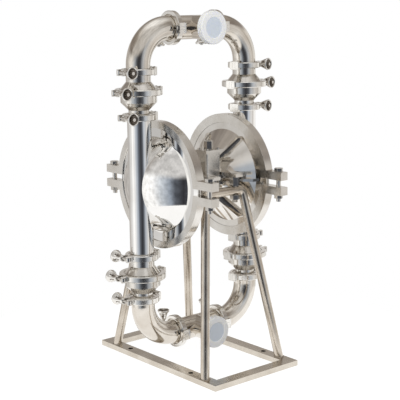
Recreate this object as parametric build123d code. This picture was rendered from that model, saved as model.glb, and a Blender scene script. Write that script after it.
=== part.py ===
from build123d import *
import os
from math import cos, pi, radians, sin, sqrt, tan

# Two inch hygienic air operated double diaphragm pump, millimetres, +Z up.
# X is the pump shaft, the pipe ports face -Y, and Z = 0 is the floor under the base.

# ---- base and legs ----
base_width = 239.0
base_depth = 404.0
base_bar_width = 27.0
base_bar_height = 12.0
floor_hole_spacing_x = base_width - base_bar_width
floor_hole_spacing_y = 215.0
floor_hole_d = 11.0
leg_rod_r = 9.5
leg_foot_inset_x = 12.0
leg_foot_inset_y = 46.5
leg_foot_x = base_width / 2 - leg_foot_inset_x
leg_foot_y = base_depth / 2 - leg_foot_inset_y
leg_top_x = 51.5
leg_top_y = 97.0
leg_bend_r = 13.0

# ---- pump axis and the lugs that hang it on the legs ----
pump_axis_z = 404.0
lug_rise = 14.0
lug_bottom_z = pump_axis_z + lug_rise
lug_thickness = 7.0
lug_valve_gap = 1.5
lug_margin_x = 15.0
lug_margin_y = 14.0
lug_hub_overlap = 7.0
stud_x = 31.0
stud_r = 6.0
stud_hole_r = 6.6
stud_end_below = 6.0
nut_height = 10.0
nut_half_flats = 9.5
small_gap = 0.3

# ---- centre block, air valve, air connections ----
block_half_x = 30.0
block_front_y = -32.0
block_back_y = 36.0
block_half_z = 42.0
valve_half_x = 20.0
valve_front_y = -64.0
valve_bottom_z = 378.0
valve_top_z = 468.0
cover_thickness = 7.0
cover_overhang = 3.0
cover_screw_r = 2.5
cover_screw_head_r = 4.5
cover_screw_head_h = 3.0
cover_screw_depth = 14.0
spool_r = 9.0
spool_fit = 0.04
spool_waist_r = 6.0
spool_length = 58.0
spool_land = 10.0
spool_stroke = 16.0
spool_end_gap = 0.5
inlet_hex_half_flats = 9.0
inlet_hex_height = 18.0
inlet_thread_r = 5.7
muffler_r = 15.0
muffler_length = 36.0
muffler_hex_half_flats = 13.0
muffler_hex_height = 8.0
muffler_stem_r = 8.0
muffler_stem_depth = 12.0

# ---- shaft, diaphragms and their plates ----
stroke = 14.0
shaft_r = 12.5
shaft_fit = 0.05
shaft_stud_r = 8.0
bush_outer_r = 16.0
bush_length = 20.0
bush_fit = 0.02
seal_width = 6.0
diaphragm_thickness = 3.0
roll_inner_r = 64.0
roll_depth = 8.0
inner_plate_r = 60.0
inner_plate_thickness = 9.0
outer_plate_r = 56.0
outer_plate_rim = 3.0
outer_plate_dome = 8.0
outer_plate_bore_depth = 6.0

# ---- air and fluid chambers and the V clamps round their flanges ----
clamp_plane_x = 97.0
flange_r = 131.0
flange_rim = 2.5
flange_taper = radians(20.0)
air_rim_width = 28.0
air_lip_width = 14.0
fluid_lip_width = 9.0
diaphragm_edge_inset = 3.0
air_rim_inner_r = flange_r - air_rim_width
air_lip_r = flange_r - air_lip_width
fluid_lip_r = flange_r - fluid_lip_width
diaphragm_r = flange_r - diaphragm_edge_inset
hub_r = 45.0
hub_shoulder_x = 44.0
air_wall = 5.0
roll_outer_r = air_rim_inner_r - air_wall
rib_count = 6
rib_thickness = 6.0
rib_outer_x = 79.0
rib_inner_x = 34.0
chamber_bolt_count = 4
chamber_bolt_circle_r = 33.0
chamber_bolt_r = 4.0
chamber_bolt_head_r = 6.5
chamber_bolt_head_h = 6.0
chamber_bolt_reach = 14.0
bolt_fit = 0.1
dome_r = 120.0
dome_apex_x = 163.0
dome_wall = 4.0
band_thickness = 6.0
band_outer_r = flange_r + band_thickness
band_width = 20.0
band_clearance = 0.3
band_lug_reach = 44.0
band_lug_far_r = band_outer_r + band_lug_reach
band_lug_width = 48.0
band_lug_height = 17.5
band_gap = 15.0
band_bolt_r = 5.0
band_bolt_hole_r = 5.5
band_bolt_reach = 27.0
band_bolt_y = band_outer_r + band_bolt_reach
band_head_h = 8.0
band_bolt_tail = 7.0
band_head_half_flats = 8.5

# ---- columns, check valve housings and manifolds ----
column_x = 148.0
column_r = 25.4
column_wall = 2.0
column_bottom_z = 255.5
column_top_z = 553.0
gasket_thickness = 2.0
rim_r = 32.0
rim_thickness = 2.0
rim_taper = radians(20.0)
weld_step = 0.8
pipe_r = 25.4
pipe_bore_r = 23.75
big_rim_r = 45.5
housing_r = 38.1
housing_wall = 2.0
bowl_height = 52.0
bowl_neck_r = 22.0
bowl_cone_bottom = 14.5
bowl_cone_top = 30.5
cone_height = 41.5
cone_neck_r = 26.0
cone_straight_top = 6.5
cone_taper_top = 21.0
ball_r = 28.0
ball_lift = 10.0
ball_clearance = 0.3
spoke_count = 3
spoke_thickness = 2.0
spoke_height = 12.0
elbow_r = 76.2
upper_elbow_leg = 87.0
lower_elbow_leg = 92.0
tee_half = 60.0
tee_branch_step = 0.2
port_y = -67.0
cap_r = 35.0
cap_depth = 14.0
cap_face = 3.0
cap_recess_r = 22.0
cap_recess_depth = 1.2

# ---- pipe clamps: two sizes of hinged ring with a swing bolt and a round nut ----
small_ring_r = 36.0
small_ring_lip_r = 29.0
big_ring_r = 50.0
big_ring_lip_r = 40.0
ring_half_width = 6.5
ring_edge_chamfer = 1.5
ring_fit = 0.2
closure_gap = 10.0
hinge_gap = 6.0
ear_length = 13.0
ear_thickness = 6.0
ear_slot = 8.0
hinge_lug = 8.0
hinge_plate = 2.0
hinge_plate_fit = 0.2
swing_bolt_r = 3.5
swing_eye_r = 5.5
swing_bolt_reach = 41.0
nut_hub_r = 6.5
nut_flare_r = 13.5
nut_start = 11.5
nut_waist = 18.0
nut_end = 39.0
nut_cup_depth = 12.0
nut_cup_wall = 2.0
nut_bore_fit = 0.1
right_upper_clamp_turn = 14.0


def turned(points):
    """Solid turned about Z from a closed outline of (radius, height) points."""
    return revolve(Plane.XZ * make_face(Polyline(*points, close=True)), Axis.Z)


def cylinder_z(radius, low, high):
    """Upright cylinder on the Z axis between two heights."""
    return Pos(0, 0, low) * Cylinder(radius, high - low, align=(Align.CENTER, Align.CENTER, Align.MIN))


def block(x_low, x_high, y_low, y_high, z_low, z_high):
    """Box between two corners."""
    size = (x_high - x_low, y_high - y_low, z_high - z_low)
    return Pos(x_low, y_low, z_low) * Box(*size, align=(Align.MIN, Align.MIN, Align.MIN))


def hexagon(half_flats, low, high):
    """Upright hexagon bar between two heights."""
    outline = RegularPolygon(half_flats, 6, major_radius=False, rotation=30)
    return Pos(0, 0, low) * extrude(outline, high - low)


def nut(half_flats, bore_r, low, high):
    """Hexagon nut with a plain bore."""
    return hexagon(half_flats, low, high) - cylinder_z(bore_r, low, high)


def along_x(shape, side=1):
    """Turn a shape built about Z to lie about the pump shaft, +Z becoming +X or -X."""
    turned_shape = Rot(0, 90 * side, 0) * shape
    return Pos(0, 0, pump_axis_z) * turned_shape


def save(name, *solids):
    """Write one node, a single piece or a group of separate identical pieces."""
    pieces = [solid for shape in solids for solid in shape.solids()]
    shape = pieces[0] if len(pieces) == 1 else Compound(children=pieces)
    export_step(shape, f"parts/{name}.step")


# ---- base and legs ----
def base_frame():
    """Welded frame of flat bar with four floor bolt holes."""
    inner_x = base_width / 2 - base_bar_width
    inner_y = base_depth / 2 - base_bar_width
    frame = block(-base_width / 2, base_width / 2, -base_depth / 2, base_depth / 2, 0, base_bar_height)
    frame -= block(-inner_x, inner_x, -inner_y, inner_y, 0, base_bar_height)
    for x in (-floor_hole_spacing_x / 2, floor_hole_spacing_x / 2):
        for y in (-floor_hole_spacing_y / 2, floor_hole_spacing_y / 2):
            frame -= Pos(x, y, 0) * cylinder_z(floor_hole_d / 2, 0, base_bar_height)
    return frame


leg_bar_z = lug_bottom_z - 2 * nut_height - small_gap - leg_rod_r


def leg_frame(side):
    """Round rod bent to an upside-down U, leaning inwards, its feet cut flush with the base."""
    overshoot = base_bar_height / (leg_bar_z - base_bar_height)
    foot_x = leg_foot_x + (leg_foot_x - leg_top_x) * overshoot
    foot_y = leg_foot_y + (leg_foot_y - leg_top_y) * overshoot
    route = FilletPolyline(
        (-foot_x, side * foot_y, 0),
        (-leg_top_x, side * leg_top_y, leg_bar_z),
        (leg_top_x, side * leg_top_y, leg_bar_z),
        (foot_x, side * foot_y, 0),
        radius=leg_bend_r,
    )
    start = Plane(origin=route @ 0, z_dir=route % 0)
    rod = sweep(start * Circle(leg_rod_r), path=route)
    rod -= block(-base_width, base_width, -base_depth, base_depth, -base_depth, base_bar_height)
    for x in (-stud_x, stud_x):
        rod -= Pos(x, side * leg_top_y, 0) * cylinder_z(stud_hole_r, leg_bar_z - 2 * leg_rod_r, leg_bar_z + 2 * leg_rod_r)
    return rod


def at_studs(shape):
    """Four copies of a shape, one at each mounting stud."""
    return [Pos(x, y, 0) * shape for x in (-stud_x, stud_x) for y in (-leg_top_y, leg_top_y)]


stud_low_z = leg_bar_z - leg_rod_r - small_gap - nut_height - stud_end_below
stud_high_z = lug_bottom_z + lug_thickness


def mounting_nuts():
    """One nut under each bar, and two jam nuts between the bar and the lug."""
    lows = (
        leg_bar_z - leg_rod_r - small_gap - nut_height,
        lug_bottom_z - 2 * nut_height,
        lug_bottom_z - nut_height,
    )
    bore = stud_r + bolt_fit
    return [piece for low in lows for piece in at_studs(nut(nut_half_flats, bore, low, low + nut_height))]


# ---- centre block and air valve ----
valve_centre_y = (valve_front_y + block_front_y) / 2
spool_bore_low = valve_bottom_z + cover_thickness
spool_low = spool_bore_low + spool_end_gap
spool_bore_high = spool_low + spool_length + spool_stroke + spool_end_gap


def chamber_bolt_places():
    """Turns about the shaft at which the chamber bolts lie."""
    return [Rot(0, 0, 45 + 360 / chamber_bolt_count * k) * Pos(chamber_bolt_circle_r, 0, 0)
            for k in range(chamber_bolt_count)]


def center_block():
    """Block between the air chambers, bored for the shaft bushes and tapped for the bolts."""
    body = block(-block_half_x, block_half_x, block_front_y, block_back_y,
                 pump_axis_z - block_half_z, pump_axis_z + block_half_z)
    body = chamfer(body.edges().filter_by(Axis.X), 8)
    body -= along_x(cylinder_z(bush_outer_r, -block_half_x, block_half_x))
    body -= exhaust_place() * cylinder_z(muffler_stem_r + bolt_fit, -muffler_stem_depth, 0)
    for side in (-1, 1):
        for place in chamber_bolt_places():
            hole = place * cylinder_z(chamber_bolt_r + bolt_fit, block_half_x - chamber_bolt_reach, block_half_x)
            body -= along_x(hole, side)
    return body


def exhaust_place():
    """Frame of the exhaust port on the back of the block, +Z leaving the block."""
    return Pos(0, block_back_y, pump_axis_z) * Rot(-90, 0, 0)


def cover_screw_places():
    """Corners of the air valve cover."""
    reach_x = valve_half_x - cover_screw_head_r
    reach_y = (block_front_y - valve_front_y) / 2 - cover_screw_head_r
    return [Pos(x, valve_centre_y + y, 0) for x in (-reach_x, reach_x) for y in (-reach_y, reach_y)]


def air_valve_body():
    """Upright valve housing with a blank front face, bored for the spool."""
    body = block(-valve_half_x, valve_half_x, valve_front_y, block_front_y, valve_bottom_z, valve_top_z)
    body = fillet(body.edges().filter_by(Axis.Z).sort_by(Axis.Y)[:2], 5)
    body -= Pos(0, valve_centre_y, 0) * cylinder_z(spool_r + spool_fit, spool_bore_low, spool_bore_high)
    for place in cover_screw_places():
        body -= place * cylinder_z(cover_screw_r + bolt_fit, valve_top_z - cover_screw_depth, valve_top_z)
    return body


def air_valve_cover():
    """Flange plate on the valve housing, bored for the air inlet."""
    plate = block(-valve_half_x - cover_overhang, valve_half_x + cover_overhang,
                  valve_front_y - cover_overhang, block_front_y, valve_top_z, valve_top_z + cover_thickness)
    plate -= Pos(0, valve_centre_y, 0) * cylinder_z(inlet_thread_r, valve_top_z, valve_top_z + cover_thickness)
    for place in cover_screw_places():
        plate -= place * cylinder_z(cover_screw_r + bolt_fit, valve_top_z, valve_top_z + cover_thickness)
    return plate


def air_valve_screws():
    """Four cap screws through the cover."""
    top = valve_top_z + cover_thickness
    screw = cylinder_z(cover_screw_r, valve_top_z - cover_screw_depth, top)
    screw += cylinder_z(cover_screw_head_r, top, top + cover_screw_head_h)
    return [place * screw for place in cover_screw_places()]


def valve_spool():
    """Spool with three lands, standing on the floor of its bore."""
    middle = spool_length / 2
    low, high = spool_low, spool_low + spool_length
    outline = [
        (0, low), (spool_r, low), (spool_r, low + spool_land), (spool_waist_r, low + spool_land),
        (spool_waist_r, low + middle - spool_land / 2), (spool_r, low + middle - spool_land / 2),
        (spool_r, low + middle + spool_land / 2), (spool_waist_r, low + middle + spool_land / 2),
        (spool_waist_r, high - spool_land), (spool_r, high - spool_land), (spool_r, high), (0, high),
    ]
    return Pos(0, valve_centre_y, 0) * turned(outline)


def air_inlet_fitting():
    """Hexagon bushing on the cover, with the air line's thread in it."""
    low = valve_top_z + cover_thickness
    bush = nut(inlet_hex_half_flats, inlet_thread_r, low, low + inlet_hex_height)
    return Pos(0, valve_centre_y, 0) * bush


def exhaust_muffler():
    """Sintered silencer screwed into the back of the block."""
    body = cylinder_z(muffler_stem_r, -muffler_stem_depth, muffler_hex_height)
    body += hexagon(muffler_hex_half_flats, 0, muffler_hex_height)
    body += cylinder_z(muffler_r, muffler_hex_height, muffler_hex_height + muffler_length)
    body = fillet(body.edges().sort_by(Axis.Z)[-1], 4)
    return exhaust_place() * body


# ---- shaft, diaphragms and plates ----
air_face_x = clamp_plane_x - diaphragm_thickness / 2
fluid_face_x = clamp_plane_x + diaphragm_thickness / 2
inner_plate_low = air_face_x - inner_plate_thickness
shaft_end_x = fluid_face_x + outer_plate_bore_depth


def shaft():
    """Connecting rod with a threaded stud at each end."""
    rod = cylinder_z(shaft_r, -inner_plate_low, inner_plate_low)
    rod += cylinder_z(shaft_stud_r, -shaft_end_x, shaft_end_x)
    return along_x(rod)


def shaft_bush(side):
    """Plain bush in the centre block."""
    outline = [
        (shaft_r + shaft_fit, block_half_x - bush_length), (bush_outer_r - bush_fit, block_half_x - bush_length),
        (bush_outer_r - bush_fit, block_half_x), (shaft_r + shaft_fit, block_half_x),
    ]
    return along_x(turned(outline), side)


def shaft_seal(side):
    """Seal ring in the hub of the air chamber."""
    outline = [
        (shaft_r + shaft_fit, block_half_x), (bush_outer_r - bush_fit, block_half_x),
        (bush_outer_r - bush_fit, block_half_x + seal_width), (shaft_r + shaft_fit, block_half_x + seal_width),
    ]
    return along_x(turned(outline), side)


def diaphragm(side):
    """Flexible disc with one rolled fold between the plates and the flanges."""
    middle = (roll_inner_r + roll_outer_r) / 2
    air, fluid = air_face_x, fluid_face_x
    outline = Polyline((shaft_stud_r + small_gap, air), (roll_inner_r, air))
    outline += ThreePointArc((roll_inner_r, air), (middle, air - roll_depth), (roll_outer_r, air))
    outline += Polyline((roll_outer_r, air), (diaphragm_r, air), (diaphragm_r, fluid), (roll_outer_r, fluid))
    outline += ThreePointArc((roll_outer_r, fluid), (middle, fluid - roll_depth), (roll_inner_r, fluid))
    outline += Polyline((roll_inner_r, fluid), (shaft_stud_r + small_gap, fluid), (shaft_stud_r + small_gap, air))
    return along_x(revolve(Plane.XZ * make_face(outline), Axis.Z), side)


def inner_plate(side):
    """Backing plate on the air side of the diaphragm."""
    edge = inner_plate_thickness / 3
    outline = [
        (shaft_stud_r, inner_plate_low), (inner_plate_r - edge, inner_plate_low),
        (inner_plate_r, inner_plate_low + edge), (inner_plate_r, air_face_x), (shaft_stud_r, air_face_x),
    ]
    return along_x(turned(outline), side)


def outer_plate(side):
    """Smooth domed plate on the fluid side, screwed on the shaft's stud."""
    rim_top = fluid_face_x + outer_plate_rim
    crown = rim_top + outer_plate_dome
    outline = Polyline((0, shaft_end_x), (shaft_stud_r, shaft_end_x), (shaft_stud_r, fluid_face_x),
                       (outer_plate_r, fluid_face_x), (outer_plate_r, rim_top))
    bulge_r = (outer_plate_r**2 + outer_plate_dome**2) / (2 * outer_plate_dome)
    shoulder = sqrt(bulge_r**2 - (outer_plate_r / 2) ** 2)
    outline += ThreePointArc((outer_plate_r, rim_top), (outer_plate_r / 2, crown - bulge_r + shoulder), (0, crown))
    outline += Line((0, crown), (0, shaft_end_x))
    return along_x(revolve(Plane.XZ * make_face(outline), Axis.Z), side)


# ---- chambers ----
air_lip_x = air_face_x - flange_rim - (flange_r - air_lip_r) * tan(flange_taper)
fluid_lip_x = fluid_face_x + flange_rim + (flange_r - fluid_lip_r) * tan(flange_taper)
cone_run = sqrt((air_rim_inner_r - hub_r) ** 2 + (air_lip_x - hub_shoulder_x) ** 2)
cavity_shift_r = air_wall * (air_lip_x - hub_shoulder_x) / cone_run
cavity_shift_x = air_wall * (air_rim_inner_r - hub_r) / cone_run
cavity_floor_x = hub_shoulder_x + cavity_shift_x


def mounting_lug(side):
    """Flat ear from the hub of an air chamber out over its stud, before the cone is cut out."""
    ear = block(valve_half_x + lug_valve_gap, stud_x + lug_margin_x, hub_r - lug_hub_overlap,
                leg_top_y + lug_margin_y, lug_bottom_z, lug_bottom_z + lug_thickness)
    ear = ear if side > 0 else mirror(ear, Plane.XZ)
    return ear - Pos(stud_x, side * leg_top_y, 0) * cylinder_z(stud_r + bolt_fit, lug_bottom_z, stud_high_z)


def air_chamber():
    """Right air chamber: flange, ribbed cone, hub and two mounting lugs."""
    shell = turned([
        (bush_outer_r, block_half_x), (hub_r, block_half_x), (hub_r, hub_shoulder_x),
        (air_rim_inner_r, air_lip_x), (air_lip_r, air_lip_x), (flange_r, air_face_x - flange_rim),
        (flange_r, air_face_x), (air_rim_inner_r - cavity_shift_r, air_face_x),
        (air_rim_inner_r - cavity_shift_r, air_lip_x + cavity_shift_x),
        (hub_r - cavity_shift_r, cavity_floor_x), (bush_outer_r, cavity_floor_x),
    ])
    web = Plane.XZ * make_face(Polyline(
        (hub_r - 1, rib_inner_x), (hub_r + 4, rib_inner_x), (air_rim_inner_r, rib_outer_x),
        (air_rim_inner_r, air_lip_x + 1), (hub_r - 1, hub_shoulder_x + 1), close=True))
    rib = extrude(web, rib_thickness / 2, both=True)
    for k in range(rib_count):
        shell += Rot(0, 0, 360 / rib_count * (k + 0.5)) * rib
    for place in chamber_bolt_places():
        shell -= place * cylinder_z(chamber_bolt_r + bolt_fit, block_half_x, cavity_floor_x)
    cavity = turned([
        (0, cavity_floor_x), (hub_r - cavity_shift_r, cavity_floor_x),
        (air_rim_inner_r - cavity_shift_r, air_lip_x + cavity_shift_x),
        (air_rim_inner_r - cavity_shift_r, air_face_x + 1), (0, air_face_x + 1),
    ])
    shell = along_x(shell)
    for side in (-1, 1):
        shell += mounting_lug(side) - along_x(cavity)
    return shell


def chamber_bolts(side):
    """Cap screws from inside the air chamber into the centre block."""
    bolt = cylinder_z(chamber_bolt_r, block_half_x - chamber_bolt_reach + 1, cavity_floor_x)
    bolt += cylinder_z(chamber_bolt_head_r, cavity_floor_x, cavity_floor_x + chamber_bolt_head_h)
    return [along_x(place * bolt, side) for place in chamber_bolt_places()]


def dome_cap(radius, low):
    """Solid cap of a sphere about the pump shaft, from a height up to its crown."""
    centre = dome_apex_x - dome_r
    half = pi / 4
    foot_r = sqrt(radius**2 - (low - centre) ** 2)
    outline = Line((0, low), (foot_r, low))
    outline += ThreePointArc((foot_r, low), (radius * cos(half), centre + radius * sin(half)), (0, centre + radius))
    outline += Line((0, centre + radius), (0, low))
    return along_x(revolve(Plane.XZ * make_face(outline), Axis.Z))


def rim_points(face_z, direction, neck_r, ferrule_r):
    """Outer outline of a clamp ferrule from its face inwards along one direction."""
    rim_z = face_z + direction * rim_thickness
    neck_z = rim_z + direction * (ferrule_r - neck_r) * tan(rim_taper)
    return [(ferrule_r, face_z), (ferrule_r, rim_z), (neck_r, neck_z)]


half_gasket = gasket_thickness / 2


def fluid_chamber():
    """Right fluid chamber: polished dome with the column tube welded through its nose."""
    flange = along_x(turned([
        (0, fluid_face_x), (flange_r, fluid_face_x), (flange_r, fluid_face_x + flange_rim),
        (fluid_lip_r, fluid_lip_x), (0, fluid_lip_x),
    ]))
    low, high = column_bottom_z + half_gasket, column_top_z - half_gasket
    upper_rim = rim_points(high, -1, column_r, rim_r)
    column = turned([(0, low)] + rim_points(low, 1, column_r, rim_r) + upper_rim[::-1] + [(0, high)])
    shell = flange + dome_cap(dome_r, fluid_lip_x) + Pos(column_x, 0, 0) * column
    shell -= dome_cap(dome_r - dome_wall, fluid_face_x)
    shell -= Pos(column_x, 0, 0) * cylinder_z(column_r - column_wall, low, high)
    return shell


def band_half(side):
    """Half of a V clamp in its own plane, its ends carrying lugs. +1 is the upper half."""
    half_width = band_width / 2
    groove_r = flange_r + band_clearance
    rim_half = diaphragm_thickness / 2 + flange_rim + band_clearance
    slope = tan(flange_taper)
    ring = turned([
        (band_outer_r, -half_width), (band_outer_r, half_width),
        (fluid_lip_r, half_width), (fluid_lip_r, rim_half + (groove_r - fluid_lip_r) * slope),
        (groove_r, rim_half), (groove_r, -rim_half),
        (air_lip_r + band_clearance, -rim_half - (groove_r - air_lip_r) * slope),
        (air_lip_r + band_clearance, -half_width),
    ])
    lug_low, lug_high = band_gap / 2, band_gap / 2 + band_lug_height
    lugs = [block(-lug_high, -lug_low, low, low + band_lug_width, -half_width, half_width)
            for low in (band_lug_far_r - band_lug_width, -band_lug_far_r)]
    bore = cylinder_z(groove_r, -half_width, half_width)
    half = ring - block(-lug_low, groove_r * 2, -groove_r * 2, groove_r * 2, -half_width, half_width)
    for lug in lugs:
        half += lug - bore
    for y in (-band_bolt_y, band_bolt_y):
        hole = Rot(0, -90, 0) * cylinder_z(band_bolt_hole_r, 0, 2 * lug_high)
        half -= Pos(0, y, 0) * hole
    half = Rot(0, 0, 0 if side > 0 else 180) * half
    return Pos(clamp_plane_x, 0, pump_axis_z) * Rot(0, 90, 0) * half


band_lug_top = band_gap / 2 + band_lug_height


def at_band_bolts(shape):
    """Four copies of a shape, one at each V clamp bolt."""
    return [Pos(x, y, pump_axis_z) * shape
            for x in (-clamp_plane_x, clamp_plane_x) for y in (-band_bolt_y, band_bolt_y)]


def band_bolt():
    """Hexagon bolt, head up."""
    tail = -band_lug_top - band_head_h - band_bolt_tail
    return cylinder_z(band_bolt_r, tail, band_lug_top) + hexagon(
        band_head_half_flats, band_lug_top, band_lug_top + band_head_h)


# ---- check valve housings ----
housing_bore_r = housing_r - housing_wall
seat_r = bowl_neck_r - housing_wall
seat_z = bowl_cone_bottom + housing_wall / 2
ball_z = seat_z + sqrt((ball_r + ball_clearance) ** 2 - seat_r**2)


def valve_bowl():
    """Lower half of a check valve, from its small ferrule to its large one. Its cone's foot is the seat."""
    low, high = half_gasket, bowl_height - half_gasket
    outer = rim_points(low, 1, bowl_neck_r, rim_r)
    outer += [(bowl_neck_r, bowl_cone_bottom), (housing_r, bowl_cone_top)]
    outer += rim_points(high, -1, housing_r, big_rim_r)[::-1]
    inner = [(housing_bore_r, high), (housing_bore_r, bowl_cone_top + housing_wall / 2), (seat_r, seat_z), (seat_r, low)]
    return turned(outer + inner)


def valve_cone():
    """Upper half of a check valve, with the spider that stops the ball in its neck."""
    low, high = half_gasket, cone_height - half_gasket
    bore_r = cone_neck_r - housing_wall
    outer = rim_points(low, 1, housing_r, big_rim_r)
    outer += [(housing_r, cone_straight_top), (cone_neck_r, cone_taper_top)]
    outer += rim_points(high, -1, cone_neck_r, rim_r)[::-1]
    inner = [(bore_r, high), (bore_r, cone_taper_top - housing_wall / 2),
             (housing_bore_r, cone_straight_top - housing_wall / 2), (housing_bore_r, low)]
    shell = turned(outer + inner)
    stop_z = ball_z + ball_lift + ball_r + ball_clearance - bowl_height
    for k in range(spoke_count):
        spoke = block(0, bore_r + housing_wall / 2, -spoke_thickness / 2, spoke_thickness / 2,
                      stop_z, stop_z + spoke_height)
        shell += Rot(0, 0, 360 / spoke_count * k) * spoke
    return shell


# ---- manifolds ----
elbow_reach = column_x - tee_half


def pipe(radius, length, start=0.0):
    """Bar of pipe on the Z axis."""
    return cylinder_z(radius, start, length)


def ferrule_disc(face_z, direction, neck_r):
    """Solid small ferrule with its face at one height, opening along one direction."""
    points = rim_points(face_z, direction, neck_r, rim_r)
    return turned([(0, face_z)] + points + [(0, points[-1][1])])


def bent_bar(radius, leg, reach):
    """Bar up the Z axis, through a quarter bend and out along +X."""
    bend_z = leg - elbow_r
    start = Pos(0, 0, bend_z) * Circle(radius)
    bend = revolve(start, Axis((elbow_r, 0, bend_z), (0, 1, 0)), 90)
    up = cylinder_z(radius, half_gasket, bend_z)
    out = Pos(elbow_r, 0, leg) * Rot(0, 90, 0) * cylinder_z(radius, 0, reach - half_gasket - elbow_r)
    return up + bend + out


def elbow(leg):
    """Quarter bend with a ferrule on each end, its first end at the origin facing down."""
    shell = bent_bar(pipe_r, leg, elbow_reach)
    ferrule = ferrule_disc(half_gasket, 1, pipe_r + weld_step)
    shell += ferrule
    shell += Pos(elbow_reach, 0, leg) * Rot(0, -90, 0) * ferrule
    return shell - bent_bar(pipe_bore_r, leg, elbow_reach)


def tee():
    """Tee with its run along X and its branch, drawn out of the run a little smaller, to -Y."""
    end = tee_half - half_gasket
    run = Rot(0, 90, 0) * (pipe(pipe_r, end, -end) + ferrule_disc(end, -1, pipe_r) + ferrule_disc(-end, 1, pipe_r))
    drawn_r = pipe_r - tee_branch_step
    branch = Rot(90, 0, 0) * (pipe(drawn_r, -port_y) + ferrule_disc(-port_y, -1, drawn_r))
    shell = run + branch - Rot(0, 90, 0) * pipe(pipe_bore_r, end, -end)
    return shell - Rot(90, 0, 0) * pipe(pipe_bore_r - tee_branch_step, -port_y)


def port_cap():
    """Push-on plastic cap over the port's ferrule, with a shallow round recess in its face."""
    face = -port_y + small_gap + cap_face
    cap = cylinder_z(cap_r, face - cap_depth, face)
    cap = fillet(cap.edges().sort_by(Axis.Z)[-1], 2)
    cap -= cylinder_z(rim_r + small_gap, face - cap_depth, face - cap_face)
    cap -= cylinder_z(cap_recess_r, face - cap_recess_depth, face)
    return Rot(90, 0, 0) * cap


# ---- pipe clamps ----
def clamp_half(ring_r, lip_r, ferrule_r):
    """Half ring on the +Y side. The closure ear is at -X and the hinge lug at +X."""
    groove_r = ferrule_r + ring_fit
    rim_half = half_gasket + rim_thickness + ring_fit
    lip_half = rim_half + (groove_r - lip_r) * tan(rim_taper)
    ring = turned([
        (lip_r, -ring_half_width), (ring_r - ring_edge_chamfer, -ring_half_width),
        (ring_r, -ring_half_width + ring_edge_chamfer), (ring_r, ring_half_width - ring_edge_chamfer),
        (ring_r - ring_edge_chamfer, ring_half_width), (lip_r, ring_half_width),
        (lip_r, lip_half), (groove_r, rim_half), (groove_r, -rim_half), (lip_r, -lip_half),
    ])
    far = 2 * ring_r
    half = ring & block(-far, 0, closure_gap / 2, far, -far, far)
    half += ring & block(0, far, hinge_gap / 2, far, -far, far)
    ear_x = -ring_r + 2
    ear = block(ear_x - ear_length, ear_x, closure_gap / 2, closure_gap / 2 + ear_thickness,
                -ring_half_width, ring_half_width)
    ear -= block(ear_x - ear_length, ear_x - 3, 0, far, -ear_slot / 2, ear_slot / 2)
    lug = block(ring_r - 3, ring_r + hinge_lug - 3, hinge_gap / 2, hinge_gap / 2 + hinge_lug,
                -ring_half_width, ring_half_width)
    return half + ear + lug


def hinge_link(ring_r):
    """Double link that holds the two hinge lugs."""
    low, high = ring_half_width + hinge_plate_fit, ring_half_width + hinge_plate_fit + hinge_plate
    x_low, x_high = ring_r - 1, ring_r + hinge_lug - 3
    reach = hinge_gap / 2 + hinge_lug
    link = block(x_low, x_high, -hinge_gap / 2 + ring_fit, hinge_gap / 2 - ring_fit, -high, high)
    for z in (low, -high):
        link += block(x_low, x_high, -reach, reach, z, z + hinge_plate)
    return link


def swing_bolt(ring_r):
    """Eye bolt in the slots of both ears, its thread running towards -Y."""
    x = -ring_r - swing_eye_r - 1
    far_y = closure_gap / 2 + ear_thickness / 2
    eye = cylinder_z(swing_eye_r, -ear_slot / 2 + small_gap, ear_slot / 2 - small_gap)
    shank = Rot(90, 0, 0) * cylinder_z(swing_bolt_r, 0, swing_bolt_reach + far_y)
    return Pos(x, far_y, 0) * (eye + shank)


def clamp_nut(ring_r):
    """Round flared nut with a hollow mouth round the end of the swing bolt."""
    bore = swing_bolt_r + nut_bore_fit
    mouth_z = nut_end - nut_cup_depth
    nut_shape = turned([
        (bore, nut_start), (nut_hub_r, nut_start), (nut_hub_r, nut_waist), (nut_flare_r, nut_end),
        (nut_flare_r - nut_cup_wall, nut_end), (nut_hub_r - 1, mouth_z), (bore, mouth_z),
    ])
    return Pos(-ring_r - swing_eye_r - 1, 0, 0) * Rot(90, 0, 0) * nut_shape


outlet_mid_z = column_top_z + bowl_height
outlet_end_z = outlet_mid_z + cone_height
outlet_axis_z = outlet_end_z + upper_elbow_leg
inlet_mid_z = column_bottom_z - cone_height
inlet_end_z = inlet_mid_z - bowl_height
inlet_axis_z = inlet_end_z - lower_elbow_leg


def side_turn(side):
    """Turn about Z that brings a fitting's -X side outboard on one column."""
    return Rot(0, 0, 180) if side > 0 else Rot(0, 0, 0)


def column_clamp_place(side, z, bolt_side):
    """Place of a column clamp: closure outboard, bolt towards the front (-1) or the back (+1)."""
    flip = Rot(180, 0, 0) if bolt_side * side < 0 else Rot(0, 0, 0)
    swing = right_upper_clamp_turn if side > 0 and bolt_side < 0 else 0
    return Pos(side * column_x, 0, z) * Rot(0, 0, swing) * side_turn(side) * flip


def tee_clamp_place(side, z, bolt_up):
    """Place of a clamp on a tee: ring about X, closure at the back, bolt upright."""
    lay = Rot(0, 90, 0) * Rot(0, 0, -90)
    return Pos(side * tee_half, 0, z) * (Rot(0, 0, 0) if bolt_up > 0 else Rot(0, 180, 0)) * lay


def small_clamp_places():
    """Places of the twelve small clamps."""
    places = []
    for side in (-1, 1):
        for z, bolt_side in ((column_top_z, -1), (outlet_end_z, -1), (column_bottom_z, 1), (inlet_end_z, 1)):
            places.append(column_clamp_place(side, z, bolt_side))
        places.append(tee_clamp_place(side, outlet_axis_z, -1))
        places.append(tee_clamp_place(side, inlet_axis_z, 1))
    return places


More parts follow.
